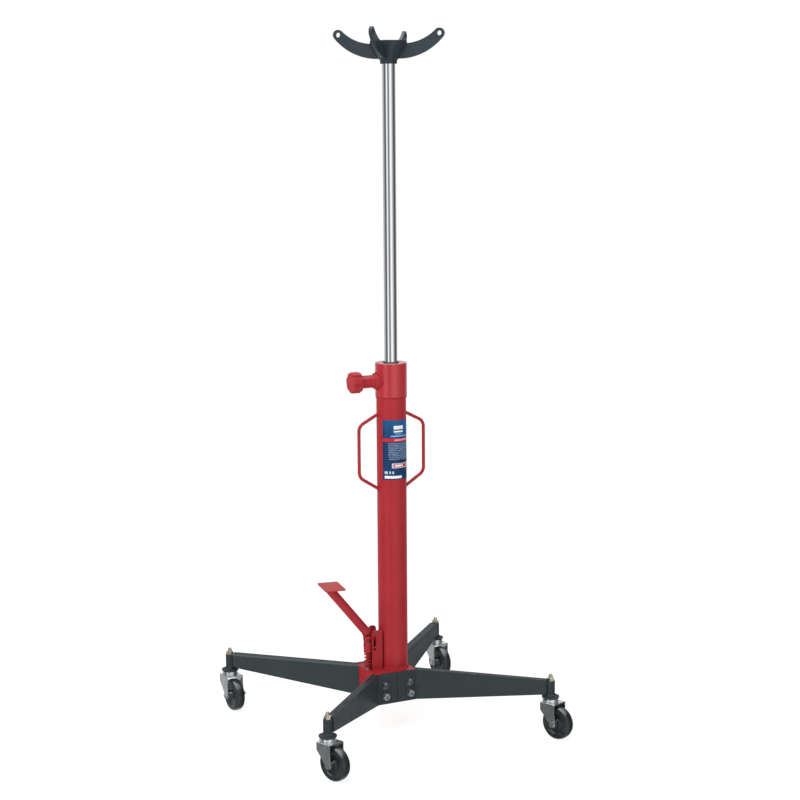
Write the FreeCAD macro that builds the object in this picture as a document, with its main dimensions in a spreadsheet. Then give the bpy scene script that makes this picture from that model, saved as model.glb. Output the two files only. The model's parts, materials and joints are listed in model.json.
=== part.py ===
import FreeCAD, Part
import math
import os
import re
import Sketcher

# Vertical telescopic transmission jack, modelled with its ram raised.
# Frame: origin on the column axis at floor level, +Z up, -Y the label side, -X the pump side.

SIZES = {
    # chassis block and its bolted flanges (the legs are laid out about chassis_x)
    "chassis_x": -22.8, "box_half_length": 65, "box_half_width": 62.5, "box_bottom": 76, "box_top": 161,
    "box_chamfer": 1.5, "flange_half_length": 60, "flange_thickness": 8, "seam_gap": 0.5,
    "bolt_spacing": 38, "bolt_low": 98.5, "bolt_high": 129.5, "bolt_dia": 10, "bolt_hole_dia": 10.4,
    "bolt_depth": 22, "washer_dia": 21, "washer_thickness": 2, "nut_across": 17, "nut_height": 9,
    "stud_tail": 4, "cap_dia": 16, "cap_height": 5, "cap_socket_across": 8, "cap_socket_depth": 3,
    # legs
    "leg_angle": 45, "leg_reach": 379.3, "leg_width": 26, "leg_axis_inset": 13, "leg_end_gap": 9,
    "leg_top": 162, "leg_bottom": 76, "leg_tip_bottom": 122, "channel_wall": 4, "channel_bend": 8,
    "channel_back": 30,
    # castor socket, stem and nut
    "socket_top": 158.4, "socket_bottom": 111.5, "disc_top": 117.4, "disc_dia": 48,
    "disc_chamfer": 1.5, "sleeve_dia": 24, "sleeve_weld": 4, "stem_dia": 11.8, "stem_bore": 12,
    "race_dia": 44, "race_bottom": 106.4, "race_chamfer": 1.8, "rivet_dia": 20,
    "rivet_bottom": 92.4, "rivet_top": 97.4, "stem_shoulder": 172.4, "stem_top": 178.4,
    "stem_tip_dia": 6, "stem_nut_across": 18, "stem_nut_height": 9, "stem_nut_bore": 11.9,
    # castor fork, axle and wheel, in a frame on the swivel axis with the wheel trailing towards +X
    "trail": 25.6, "wheel_dia": 91.4, "wheel_width": 28, "wheel_round": 9, "wheel_bore": 8.2,
    "boss_dia": 24, "boss_width": 44, "recess_dia": 58, "recess_floor": 20, "recess_draft": 1,
    "fork_width": 51, "fork_gap": 45.4, "fork_roof": 97.9, "fork_top": 100.9,
    "fork_race_top": 106.1, "fork_plate_dia": 46, "fork_bore": 12.1, "fork_nose": 31.5,
    "fork_heel": 16.5, "fork_waist": 80, "eye_dia": 19, "axle_dia": 8, "axle_hole": 8.1,
    "axle_across": 13, "axle_nut_height": 6, "axle_tail": 3,
    # column and hydraulic cylinder
    "column_od": 82, "column_id": 72, "cylinder_od": 54, "cylinder_id": 44, "cylinder_seat": 60,
    "cylinder_top": 940, "collar_dia": 87.5, "collar_bottom": 926, "collar_top": 1021,
    "collar_chamfer": 3, "gland_bore": 36.1, "wiper_od": 46, "wiper_seat": 1015, "wiper_top": 1024,
    "wiper_bore": 36.08, "wiper_lip": 42,
    # ram and saddle
    "ram_dia": 36, "ram_shoulder": 1827, "spigot_dia": 24, "spigot_top": 1867, "piston_dia": 43.9,
    "piston_bottom": 905, "piston_top": 935, "neck_dia": 22, "neck_bore": 22.04, "neck_bottom": 900,
    "groove_bottom": 916, "groove_top": 923, "groove_dia": 37, "seal_dia": 43.94,
    "screw_hole": 10, "screw_depth": 25, "screw_head_dia": 18, "screw_head_height": 8,
    "screw_washer_dia": 34, "screw_washer_thickness": 3, "screw_socket_across": 8,
    "screw_socket_depth": 4,
    "hub_bore": 24.2, "hub_foot_dia": 46, "hub_foot_height": 8, "hub_rim_dia": 100,
    "hub_shoulder": 1875, "hub_top": 1888, "hub_floor": 1866.8, "hub_cup_dia": 80,
    "arm_thickness": 8, "lower_arc_r": 30, "lower_arc_z": 2001.4, "lower_arc_radius": 161.4,
    "upper_arc_r": 45, "upper_arc_z": 2007.9, "upper_arc_radius": 127.4, "ear_slope": 43.5,
    "ear_r": 142.1, "ear_z": 1905.4, "ear_dia": 27.6, "ear_hole_dia": 13,
    # release valve
    "knob_z": 972, "stub_dia": 35, "stub_end": 94, "flare_dia": 45, "flare_end": 54,
    "spindle_dia": 9, "spindle_bore": 9.15, "spindle_tip": 24, "spindle_cone": 30,
    "spindle_end": 115, "knob_dia": 58, "knob_start": 96, "knob_end": 124, "knob_round": 4,
    "knob_bore": 9.04, "knob_bore_depth": 20, "notch_dia": 15, "notch_ring_dia": 63,
    "notch_count": 7,
    # carry handles
    "handle_rod": 9, "handle_low": 669, "handle_high": 882, "handle_reach": 100,
    "grip_low": 721.5, "grip_high": 835, "handle_bend": 25, "handle_root": 38,
    # rating label
    "label_bottom": 700, "label_top": 866, "label_thickness": 0.4, "label_half_angle": 63,
    # pump, measured about the plunger axis at (pump_x, pump_y)
    "pump_x": -78, "pump_y": 2, "barrel_dia": 16.4, "barrel_bottom": 99, "barrel_floor": 104,
    "barrel_collar_dia": 18.5, "barrel_top": 165, "barrel_bore": 12.1, "plunger_dia": 12,
    "plunger_bottom": 118, "clevis_bottom": 209, "clevis_top": 257, "clevis_dia": 24,
    "clevis_slot_half": 4.8, "clevis_slot_floor": 225, "clevis_chamfer": 1.5,
    "pin_slot_dia": 8.2, "pin_slot_left": -3.7, "pin_slot_right": 1.2,
    "spring_mean_dia": 19.5, "spring_wire": 3.5, "spring_pitch": 10, "spring_gap": 0.1,
    "post_left": -74, "post_far_left": -65, "post_right": -43.5, "post_front": -20, "post_back": 24,
    "post_ear": 5, "post_web": 4, "post_top": 274, "post_far_top": 278, "post_web_top": 238,
    "post_round": 3, "post_far_round": 8, "window_left": -71, "window_right": -62,
    "window_bottom": 228.3, "window_top": 258.3, "post_hole_x": -67, "post_hole_z": 221,
    "post_hole_dia": 8,
    # pedal: pivot, plunger pin and arm in the X-Z plane at pump_y
    "pivot_x": -54, "pivot_z": 250.5, "pivot_dia": 10, "pivot_hole": 10.06, "pivot_head_dia": 15,
    "pivot_head_height": 2, "pedal_hub_dia": 17, "hub_gap": 0.4, "hub_hole": 10.1,
    "pin_x": -81.5, "pin_z": 244, "pin_dia": 7, "pin_hole": 7.04, "pin_half": 10.5,
    "tongue_half": 4.4, "pin_boss_dia": 17, "arm_base_x": -81.8, "arm_base_z": 268,
    "arm_angle": 50.5, "arm_od": 25, "arm_id": 19, "arm_length": 196, "plate_x": -188,
    "plate_bottom": 408.5, "plate_thickness": 4, "plate_length": 57, "plate_width": 91,
    "plate_round": 3, "plate_yaw": -10.5,
}

# corner: (hand of the leg, turn about Z, yaw of the castor trail)
CORNERS = {
    "front": (-1, 0, -70.6),
    "right": (1, 0, -69.8),
    "back": (-1, 180, -85.9),
    "left": (1, 180, -86.8),
}
LONG_CUT = 1000
TINY = 0.01
X_AXIS = FreeCAD.Vector(1, 0, 0)
Y_AXIS = FreeCAD.Vector(0, 1, 0)
Z_AXIS = FreeCAD.Vector(0, 0, 1)
FUNCTIONS = ("sin", "cos", "tan", "sqrt")

doc = FreeCAD.newDocument("transmission_jack")
sheet = doc.addObject("Spreadsheet::Sheet", "sizes")
for row, (alias, value) in enumerate(SIZES.items(), 1):
    sheet.set("A%d" % row, alias)
    sheet.set("B%d" % row, str(value))
    sheet.setAlias("B%d" % row, alias)
doc.recompute()

nodes = []


def ref(text):
    """Write an expression with the sheet's name in front of every cell alias."""
    def named(word):
        return word.group() if word.group() in FUNCTIONS else "sizes." + word.group()
    return re.sub(r"[a-z_]+", named, str(text))


def new_body(label, keep=True):
    body = doc.addObject("PartDesign::Body", label)
    body.Label = label
    body.AllowCompound = True
    if keep:
        nodes.append(body)
    return body


def place(body, x="0", y="0", z="0", axis=Z_AXIS, angle=0):
    body.Placement = FreeCAD.Placement(FreeCAD.Vector(), FreeCAD.Rotation(axis, angle))
    for letter, text in zip("xyz", (x, y, z)):
        body.setExpression(".Placement.Base." + letter, ref(text))


def bind(sketch, kind, geometry, point, text, value=1.0):
    number = sketch.addConstraint(Sketcher.Constraint(kind, -1, 1, geometry, point, value))
    sketch.setExpression("Constraints[%d]" % number, ref(text))


def add_outline(sketch, corners):
    """A closed outline of straight edges; each corner is a pair of expressions."""
    first, count = sketch.GeometryCount, len(corners)
    start = [FreeCAD.Vector(math.cos(math.tau * i / count), math.sin(math.tau * i / count), 0)
             for i in range(count)]
    for i in range(count):
        sketch.addGeometry(Part.LineSegment(start[i], start[(i + 1) % count]), False)
    for i in range(count):
        following = first + (i + 1) % count
        sketch.addConstraint(Sketcher.Constraint("Coincident", first + i, 2, following, 1))
    for i, (across, up) in enumerate(corners):
        bind(sketch, "DistanceX", first + i, 1, across)
        bind(sketch, "DistanceY", first + i, 1, up)


def add_circle(sketch, across, up, diameter):
    number = sketch.addGeometry(Part.Circle(FreeCAD.Vector(1, 1, 0), Z_AXIS, 1), False)
    bind(sketch, "DistanceX", number, 3, across)
    bind(sketch, "DistanceY", number, 3, up)
    size = sketch.addConstraint(Sketcher.Constraint("Diameter", number, 2.0))
    sketch.setExpression("Constraints[%d]" % size, ref(diameter))


def hexagon(across, up, flats):
    """Corners of a hexagon with two corners on the sketch's horizontal."""
    near, far, side = "%s/(2*sqrt(3))" % flats, "%s/sqrt(3)" % flats, "%s/2" % flats
    signs = [(far, "0"), (near, side), ("-" + near, side), ("-" + far, "0"),
             ("-" + near, "-" + side), (near, "-" + side)]
    return [("%s+(%s)" % (across, dx), "%s+(%s)" % (up, dy)) for dx, dy in signs]


def rectangle(left, right, low, high):
    return [(left, low), (right, low), (right, high), (left, high)]


def draw(body, role, level="0", outlines=(), circles=(), turn=0, shift="0"):
    """A sketch on an origin plane, lifted to a level along the plane's positive axis."""
    sketch = body.newObject("Sketcher::SketchObject", body.Name + "_sketch")
    plane = [datum for datum in body.Origin.OriginFeatures if datum.Role == role][0]
    sketch.AttachmentSupport = [(plane, "")]
    sketch.MapMode = "FlatFace"
    sketch.AttachmentOffset = FreeCAD.Placement(FreeCAD.Vector(), FreeCAD.Rotation(Y_AXIS, turn))
    sign = "-" if role == "XZ_Plane" else ""
    sketch.setExpression(".AttachmentOffset.Base.z", ref("%s(%s)" % (sign, level)))
    if shift != "0":
        sketch.setExpression(".AttachmentOffset.Base.x", ref(shift))
    for corners in outlines:
        add_outline(sketch, corners)
    for circle in circles:
        add_circle(sketch, *circle)
    doc.recompute()
    return sketch


def normal_sign(sketch):
    return -1 if sketch.AttachmentSupport[0][0].Role == "XZ_Plane" else 1


def pad(body, sketch, length, toward=1, middle=False):
    feature = body.newObject("PartDesign::Pad", body.Name + "_pad")
    feature.Profile = sketch
    feature.setExpression("Length", ref(length))
    feature.Midplane = middle
    feature.Reversed = toward != normal_sign(sketch)
    doc.recompute()
    return feature


def pocket(body, sketch, length, toward=1, middle=False):
    before = body.Shape.Volume
    feature = body.newObject("PartDesign::Pocket", body.Name + "_pocket")
    feature.Profile = sketch
    feature.setExpression("Length", ref(length))
    feature.Midplane = middle
    feature.Reversed = toward == normal_sign(sketch)
    doc.recompute()
    if body.Shape.Volume > before - TINY:
        raise ValueError("a pocket cuts nothing in " + body.Label)
    return feature


def revolve(body, corners, role="XZ_Plane", axis="V_Axis"):
    sketch = draw(body, role, outlines=[corners])
    feature = body.newObject("PartDesign::Revolution", body.Name + "_revolution")
    feature.Profile = sketch
    feature.ReferenceAxis = (sketch, [axis])
    feature.Angle = 360
    doc.recompute()
    return feature


def dress(body, kind, size, wanted):
    """Fillet or chamfer the edges of the body's tip that the test picks."""
    base = body.Tip
    names = ["Edge%d" % i for i, edge in enumerate(base.Shape.Edges, 1) if wanted(edge)]
    if not names:
        raise ValueError("no edge to dress in " + body.Label)
    feature = body.newObject("PartDesign::" + kind, body.Name + "_" + kind.lower())
    feature.Base = (base, names)
    feature.setExpression("Radius" if kind == "Fillet" else "Size", ref(size))
    doc.recompute()
    return feature


def circle_edges(radius):
    """Pick whole circular edges of one radius."""
    def wanted(edge):
        return isinstance(edge.Curve, Part.Circle) and abs(edge.Curve.Radius - radius) < TINY
    return wanted


def group(label, members):
    compound = doc.addObject("Part::Compound", label)
    compound.Label = label
    compound.Links = members
    nodes.append(compound)
    return compound


def mirrored(hand, text):
    return "-(%s)" % text if hand < 0 else text


# ---------------------------------------------------------------- chassis block
def bolt_circles(diameter, rows=("bolt_low", "bolt_high")):
    return [("chassis_x%sbolt_spacing" % sign, row, diameter) for sign in "+-" for row in rows]


block = new_body("chassis_block")
box_plan = rectangle("chassis_x-box_half_length", "chassis_x+box_half_length",
                     "-box_half_width", "box_half_width")
pad(block, draw(block, "XY_Plane", "box_bottom", [box_plan]), "box_top-box_bottom")
dress(block, "Chamfer", "box_chamfer",
      lambda edge: abs(edge.BoundBox.ZMin - SIZES["box_top"]) < TINY
      and edge.BoundBox.ZLength < TINY)
pocket(block, draw(block, "XY_Plane", "box_top", circles=[("0", "0", "cylinder_od")]),
       "cylinder_seat", -1)
pocket(block, draw(block, "XY_Plane", "box_top", circles=[("pump_x", "pump_y", "barrel_dia")]),
       "box_top-barrel_bottom", -1)
for side, face in ((-1, "-box_half_width"), (1, "box_half_width")):
    pocket(block, draw(block, "XZ_Plane", face, circles=bolt_circles("bolt_dia")),
           "bolt_depth", -side)

# ---------------------------------------------------------------- column and cylinder
column = new_body("column_tube")
pad(column, draw(column, "XY_Plane", "box_top",
                 circles=[("0", "0", "column_od"), ("0", "0", "column_id")]),
    "collar_bottom-box_top")

cylinder = new_body("inner_cylinder")
pad(cylinder, draw(cylinder, "XY_Plane", "box_top-cylinder_seat",
                   circles=[("0", "0", "cylinder_od"), ("0", "0", "cylinder_id")]),
    "cylinder_top-box_top+cylinder_seat")

collar = new_body("head_collar")
revolve(collar, [
    ("cylinder_od/2", "collar_bottom"),
    ("collar_dia/2-collar_chamfer", "collar_bottom"),
    ("collar_dia/2", "collar_bottom+collar_chamfer"),
    ("collar_dia/2", "collar_top-collar_chamfer/2"),
    ("collar_dia/2-collar_chamfer/2", "collar_top"),
    ("wiper_od/2", "collar_top"),
    ("wiper_od/2", "wiper_seat"),
    ("gland_bore/2", "wiper_seat"),
    ("gland_bore/2", "cylinder_top"),
    ("cylinder_od/2", "cylinder_top"),
])
pocket(collar, draw(collar, "YZ_Plane", "-collar_dia/2-seam_gap",
                    circles=[("0", "knob_z", "spindle_bore")]),
       "collar_dia/2+seam_gap-spindle_tip+seam_gap", 1)

wiper = new_body("wiper_seal")
revolve(wiper, [
    ("wiper_bore/2", "wiper_seat"),
    ("wiper_od/2", "wiper_seat"),
    ("wiper_od/2", "collar_top"),
    ("wiper_lip/2", "wiper_top"),
    ("wiper_bore/2", "wiper_top"),
])

stub = new_body("release_stub")
pad(stub, draw(stub, "YZ_Plane", circles=[("0", "knob_z", "stub_dia")]), "stub_end", -1)
pad(stub, draw(stub, "YZ_Plane", circles=[("0", "knob_z", "flare_dia")]), "flare_end", -1)
dress(stub, "Chamfer", "collar_chamfer",
      lambda edge: circle_edges(SIZES["flare_dia"] / 2)(edge)
      and edge.BoundBox.XMax < -SIZES["flare_end"] + TINY)
pocket(stub, draw(stub, "XY_Plane", "knob_z", circles=[("0", "0", "collar_dia")]),
       str(LONG_CUT), middle=True)
pocket(stub, draw(stub, "YZ_Plane", "-stub_end", circles=[("0", "knob_z", "spindle_bore")]),
       "stub_end", 1)

# ---------------------------------------------------------------- carry handles
def carry_handle(label, hand):
    """Bent rod in the X-Z plane: two sloping arms, two bends and an upright grip."""
    body = new_body(label)
    path = draw(body, "XZ_Plane")
    root, reach, bend = SIZES["handle_root"], SIZES["handle_reach"], SIZES["handle_bend"]
    low, high = SIZES["grip_low"], SIZES["grip_high"]
    bottom, top = SIZES["handle_low"], SIZES["handle_high"]

    def at(x, z):
        return FreeCAD.Vector(hand * x, z, 0)

    ends = [at(root, bottom), at(reach - bend / 2, low - bend / 2), at(reach, low),
            at(reach, high), at(reach - bend / 2, high + bend / 2), at(root, top)]
    middle = [at(reach - bend / 8, low - bend / 3), at(reach - bend / 8, high + bend / 3)]
    path.addGeometry(Part.LineSegment(ends[0], ends[1]), False)
    path.addGeometry(Part.Arc(ends[1], middle[0], ends[2]), False)
    path.addGeometry(Part.LineSegment(ends[2], ends[3]), False)
    path.addGeometry(Part.Arc(ends[3], middle[1], ends[4]), False)
    path.addGeometry(Part.LineSegment(ends[4], ends[5]), False)
    near, far = (1, 2) if hand > 0 else (2, 1)
    joins = ((0, 2, 1, near), (2, 1, 1, far), (2, 2, 3, near), (4, 1, 3, far))
    for line, line_end, arc, arc_end in joins:
        path.addConstraint(Sketcher.Constraint("Tangent", line, line_end, arc, arc_end))
    for arc in (1, 3):
        size = path.addConstraint(Sketcher.Constraint("Radius", arc, bend))
        path.setExpression("Constraints[%d]" % size, ref("handle_bend"))
    path.addConstraint(Sketcher.Constraint("Vertical", 2))
    bind(path, "DistanceX", 0, 1, mirrored(hand, "handle_root"), hand * root)
    bind(path, "DistanceY", 0, 1, "handle_low", bottom)
    bind(path, "DistanceX", 4, 2, mirrored(hand, "handle_root"), hand * root)
    bind(path, "DistanceY", 4, 2, "handle_high", top)
    bind(path, "DistanceX", 2, 1, mirrored(hand, "handle_reach"), hand * reach)
    bind(path, "DistanceY", 2, 1, "grip_low", low)
    bind(path, "DistanceY", 2, 2, "grip_high", high)
    doc.recompute()
    profile = body.newObject("Sketcher::SketchObject", label + "_profile")
    profile.AttachmentSupport = [(path, "Edge1")]
    profile.MapMode = "NormalToEdge"
    number = profile.addGeometry(Part.Circle(FreeCAD.Vector(), Z_AXIS, 1), False)
    profile.addConstraint(Sketcher.Constraint("Coincident", number, 3, -1, 1))
    size = profile.addConstraint(Sketcher.Constraint("Diameter", number, 2.0))
    profile.setExpression("Constraints[%d]" % size, ref("handle_rod"))
    doc.recompute()
    pipe = body.newObject("PartDesign::AdditivePipe", label + "_pipe")
    pipe.Profile = profile
    pipe.Spine = (path, ["Edge%d" % i for i in range(1, 6)])
    doc.recompute()
    pocket(body, draw(body, "XY_Plane", "grip_low", circles=[("0", "0", "column_od")]),
           str(LONG_CUT), middle=True)


carry_handle("carry_handle_right", 1)
carry_handle("carry_handle_left", -1)

# ---------------------------------------------------------------- rating label
label = new_body("rating_label")
pad(label, draw(label, "XY_Plane", "label_bottom",
                circles=[("0", "0", "column_od+2*label_thickness"), ("0", "0", "column_od")]),
    "label_top-label_bottom")
edge_x = "column_od*sin(label_half_angle)"
edge_y = "-column_od*cos(label_half_angle)"
pocket(label, draw(label, "XY_Plane", "label_bottom", [
    [("0", "0"), (edge_x, edge_y), (edge_x, "column_od"), ("-" + edge_x, "column_od"),
     ("-" + edge_x, edge_y)]]), "label_top-label_bottom", 1)

# ---------------------------------------------------------------- legs
CASTOR_X = ("(flange_half_length+leg_reach*cos(leg_angle)+leg_axis_inset*sin(leg_angle))")
CASTOR_Y = ("(box_half_width+flange_thickness+leg_reach*sin(leg_angle)"
            "-leg_axis_inset*cos(leg_angle))")
LEG_END = "leg_reach-leg_end_gap"
FACE_Y = "(box_half_width+flange_thickness)"


def leg_sketch(body, hand, corners, inset):
    """A side profile in the leg's upright plane, moved in from its outer face."""
    sketch = body.newObject("Sketcher::SketchObject", body.Name + "_side")
    plane = [datum for datum in body.Origin.OriginFeatures if datum.Role == "XZ_Plane"][0]
    sketch.AttachmentSupport = [(plane, "")]
    sketch.MapMode = "FlatFace"
    turn = FreeCAD.Rotation(Y_AXIS, -hand * SIZES["leg_angle"])
    sketch.AttachmentOffset = FreeCAD.Placement(FreeCAD.Vector(), turn)
    across = "flange_half_length+%s*sin(leg_angle)" % inset
    sketch.setExpression(".AttachmentOffset.Base.x", ref(mirrored(hand, across)))
    sketch.setExpression(".AttachmentOffset.Base.z", ref("%s-%s*cos(leg_angle)" % (FACE_Y, inset)))
    add_outline(sketch, [(mirrored(hand, along), up) for along, up in corners])
    doc.recompute()
    return sketch


def cope(body, hand):
    """Round the leg's end to fit the castor sleeve."""
    circle = (mirrored(hand, CASTOR_X), "-" + CASTOR_Y, "sleeve_dia")
    pocket(body, draw(body, "XY_Plane", "leg_bottom", circles=[circle]), str(LONG_CUT), middle=True)


def leg_plate(corner):
    hand, turn, _ = CORNERS[corner]
    body = new_body("leg_plate_" + corner)
    plan = [("seam_gap", "-" + FACE_Y),
            ("flange_half_length", "-" + FACE_Y),
            ("flange_half_length+flange_thickness*sin(leg_angle)",
             "-%s+flange_thickness*cos(leg_angle)" % FACE_Y),
            ("flange_half_length+flange_thickness*tan(leg_angle/2)", "-box_half_width"),
            ("seam_gap", "-box_half_width")]
    plan = [(mirrored(hand, across), up) for across, up in plan]
    pad(body, draw(body, "XY_Plane", "leg_bottom", [plan]), "leg_top-leg_bottom")
    side = [("0", "leg_bottom"), (LEG_END, "leg_tip_bottom"), (LEG_END, "leg_top"), ("0", "leg_top")]
    pad(body, leg_sketch(body, hand, side, "0"), "flange_thickness", 1)
    cope(body, hand)
    holes = [(mirrored(hand, "bolt_spacing"), row, "bolt_hole_dia") for row in ("bolt_low", "bolt_high")]
    pocket(body, draw(body, "XZ_Plane", "-" + FACE_Y, circles=holes), "flange_thickness", 1)
    place(body, "chassis_x", angle=turn)


def leg_channel(corner):
    hand, turn, _ = CORNERS[corner]
    body = new_body("leg_channel_" + corner)
    slope = "(leg_tip_bottom-leg_bottom)/(%s)" % LEG_END
    outer = [("-channel_back", "leg_bottom"), ("0", "leg_bottom"), (LEG_END, "leg_tip_bottom"),
             (LEG_END, "leg_top"), ("-channel_back", "leg_top")]
    pad(body, leg_sketch(body, hand, outer, "flange_thickness"), "leg_width-flange_thickness", 1)
    back = SIZES["leg_width"]
    bend_x = SIZES["flange_half_length"]
    bend_y = -SIZES["box_half_width"] - SIZES["flange_thickness"]
    angle = math.radians(SIZES["leg_angle"])

    def outer_long_edge(edge):
        ends = [vertex.Point for vertex in edge.Vertexes]
        inset = [(hand * end.x - bend_x) * math.sin(angle) + (end.y - bend_y) * math.cos(angle)
                 for end in ends]
        return edge.Length > back and all(abs(value - back) < TINY for value in inset)

    dress(body, "Fillet", "channel_bend", outer_long_edge)
    floor = "leg_bottom+channel_wall"
    start = "-channel_back-channel_wall"
    inner = [(start, floor), ("0", floor), ("leg_reach", floor + "+leg_reach*" + slope),
             ("leg_reach", "leg_top-channel_wall"), (start, "leg_top-channel_wall")]
    pocket(body, leg_sketch(body, hand, inner, "flange_thickness"),
           "leg_width-flange_thickness-channel_wall", 1)
    cope(body, hand)
    trim = rectangle("-flange_half_length", "box_half_length", "-%s*2" % FACE_Y, "box_half_width")
    trim = [(mirrored(hand, across), up) for across, up in trim]
    pocket(body, draw(body, "XY_Plane", "leg_bottom", [trim]), str(LONG_CUT), middle=True)
    place(body, "chassis_x", angle=turn)


for corner in CORNERS:
    leg_plate(corner)
for corner in CORNERS:
    leg_channel(corner)

# ---------------------------------------------------------------- flange fasteners
def both_sides(body, shapes, start, length):
    """The same pads on the front and the back flanges."""
    for side in (-1, 1):
        level = "%s(%s)" % ("-" if side < 0 else "", start)
        outlines, circles = shapes(side)
        pad(body, draw(body, "XZ_Plane", level, outlines, circles), length, side)


def bolt_hexagons(row, flats):
    return [hexagon("chassis_x%sbolt_spacing" % sign, row, flats) for sign in "+-"]


washers = new_body("flange_washers")
both_sides(washers, lambda side: ((), bolt_circles("washer_dia") + bolt_circles("bolt_hole_dia")),
           FACE_Y, "washer_thickness")
screws = new_body("flange_screws")
HEAD = FACE_Y + "+washer_thickness"
both_sides(screws, lambda side: ((), bolt_circles("cap_dia", ["bolt_high"])), HEAD, "cap_height")
both_sides(screws, lambda side: ((), bolt_circles("bolt_dia", ["bolt_high"])),
           "box_half_width-bolt_depth", "bolt_depth+flange_thickness+washer_thickness")
for side in (-1, 1):
    level = "%s(%s+cap_height)" % ("-" if side < 0 else "", HEAD)
    pocket(screws, draw(screws, "XZ_Plane", level, bolt_hexagons("bolt_high", "cap_socket_across")),
           "cap_socket_depth", -side)
dress(screws, "Chamfer", "seam_gap*2",
      lambda edge: circle_edges(SIZES["cap_dia"] / 2)(edge)
      and abs(edge.BoundBox.YMax) > SIZES["box_half_width"] + SIZES["flange_thickness"]
      + SIZES["washer_thickness"] + TINY)
studs = new_body("flange_studs")
both_sides(studs, lambda side: ((), bolt_circles("bolt_dia", ["bolt_low"])),
           "box_half_width-bolt_depth",
           "bolt_depth+flange_thickness+washer_thickness+nut_height+stud_tail")
nuts = new_body("flange_nuts")
both_sides(nuts, lambda side: (bolt_hexagons("bolt_low", "nut_across"),
                               bolt_circles("bolt_dia+2*seam_gap/10", ["bolt_low"])),
           HEAD, "nut_height")

# ---------------------------------------------------------------- castors
def castor_place(body, corner, yaw=0):
    hand, turn, _ = CORNERS[corner]
    side = hand * (1 if turn == 0 else -1)
    front = -1 if turn == 0 else 1
    body.Placement = FreeCAD.Placement(FreeCAD.Vector(), FreeCAD.Rotation(Z_AXIS, yaw))
    body.setExpression(".Placement.Base.x", ref("chassis_x%s%s" % ("+" if side > 0 else "-", CASTOR_X)))
    body.setExpression(".Placement.Base.y", ref("%s%s" % ("+" if front > 0 else "-", CASTOR_Y)))


def castor_socket(corner):
    body = new_body("castor_socket_" + corner)
    revolve(body, [
        ("stem_bore/2", "socket_bottom"),
        ("disc_dia/2-disc_chamfer", "socket_bottom"),
        ("disc_dia/2", "socket_bottom+disc_chamfer"),
        ("disc_dia/2", "disc_top-disc_chamfer"),
        ("sleeve_dia/2+sleeve_weld", "disc_top"),
        ("sleeve_dia/2", "disc_top+sleeve_weld"),
        ("sleeve_dia/2", "socket_top"),
        ("stem_bore/2", "socket_top"),
    ])
    castor_place(body, corner)


def castor_stem(corner):
    body = new_body("castor_stem_" + corner, keep=False)
    revolve(body, [
        ("0", "rivet_bottom"),
        ("rivet_dia/2-race_chamfer", "rivet_bottom"),
        ("rivet_dia/2", "rivet_bottom+race_chamfer"),
        ("rivet_dia/2", "rivet_top"),
        ("stem_dia/2", "rivet_top"),
        ("stem_dia/2", "race_bottom"),
        ("race_dia/2-race_chamfer", "race_bottom"),
        ("race_dia/2", "race_bottom+race_chamfer"),
        ("race_dia/2", "socket_bottom-race_chamfer"),
        ("race_dia/2-race_chamfer", "socket_bottom"),
        ("stem_dia/2", "socket_bottom"),
        ("stem_dia/2", "stem_shoulder"),
        ("stem_tip_dia/2", "stem_top"),
        ("0", "stem_top"),
    ])
    castor_place(body, corner)
    return body


def castor_nut(corner):
    body = new_body("castor_stem_nut_" + corner, keep=False)
    pad(body, draw(body, "XY_Plane", "socket_top", [hexagon("0", "0", "stem_nut_across")],
                   [("0", "0", "stem_nut_bore")]), "stem_nut_height")
    castor_place(body, corner, CORNERS[corner][2])
    return body


def castor_fork(corner):
    body = new_body("castor_fork_" + corner)
    cheek = [("-fork_heel", "fork_waist"), ("trail-eye_dia/2-seam_gap", "wheel_dia/2-seam_gap"),
             ("trail+eye_dia/2", "wheel_dia/2"), ("fork_nose", "fork_waist"),
             ("fork_nose", "fork_top"), ("-fork_heel", "fork_top")]
    eye = ("trail", "wheel_dia/2", "eye_dia")
    pad(body, draw(body, "XZ_Plane", outlines=[cheek]), "fork_width", middle=True)
    pad(body, draw(body, "XZ_Plane", circles=[eye]), "fork_width", middle=True)
    gap = rectangle("-fork_plate_dia", "fork_plate_dia*2", "0", "fork_roof")
    pocket(body, draw(body, "XZ_Plane", outlines=[gap]), "fork_gap", middle=True)
    dress(body, "Fillet", "race_chamfer",
          lambda edge: abs(edge.BoundBox.ZMin - SIZES["fork_top"]) < TINY
          and abs(abs(edge.BoundBox.YMin) - SIZES["fork_width"] / 2) < TINY
          and edge.BoundBox.YLength < TINY)
    pad(body, draw(body, "XY_Plane", "fork_roof", circles=[("0", "0", "race_dia")]),
        "fork_race_top-fork_roof")
    dress(body, "Fillet", "race_chamfer",
          lambda edge: circle_edges(SIZES["race_dia"] / 2)(edge)
          and edge.BoundBox.ZMin > SIZES["fork_race_top"] - TINY)
    pocket(body, draw(body, "XY_Plane", "fork_roof", circles=[("0", "0", "fork_bore")]),
           "fork_plate_dia", middle=True)
    pocket(body, draw(body, "XZ_Plane", circles=[("trail", "wheel_dia/2", "axle_hole")]),
           str(LONG_CUT), middle=True)
    castor_place(body, corner, CORNERS[corner][2])


def castor_axle(corner):
    body = new_body("castor_axle_" + corner)
    half = "fork_width/2"
    spot = ("trail", "wheel_dia/2")
    span = "fork_width+axle_nut_height+axle_tail"
    pad(body, draw(body, "XZ_Plane", "-" + half, circles=[spot + ("axle_dia",)]), span, 1)
    for side, start in ((-1, "-" + half), (1, half)):
        pad(body, draw(body, "XZ_Plane", start, [hexagon(*spot, "axle_across")]),
            "axle_nut_height", side)
    castor_place(body, corner, CORNERS[corner][2])


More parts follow.
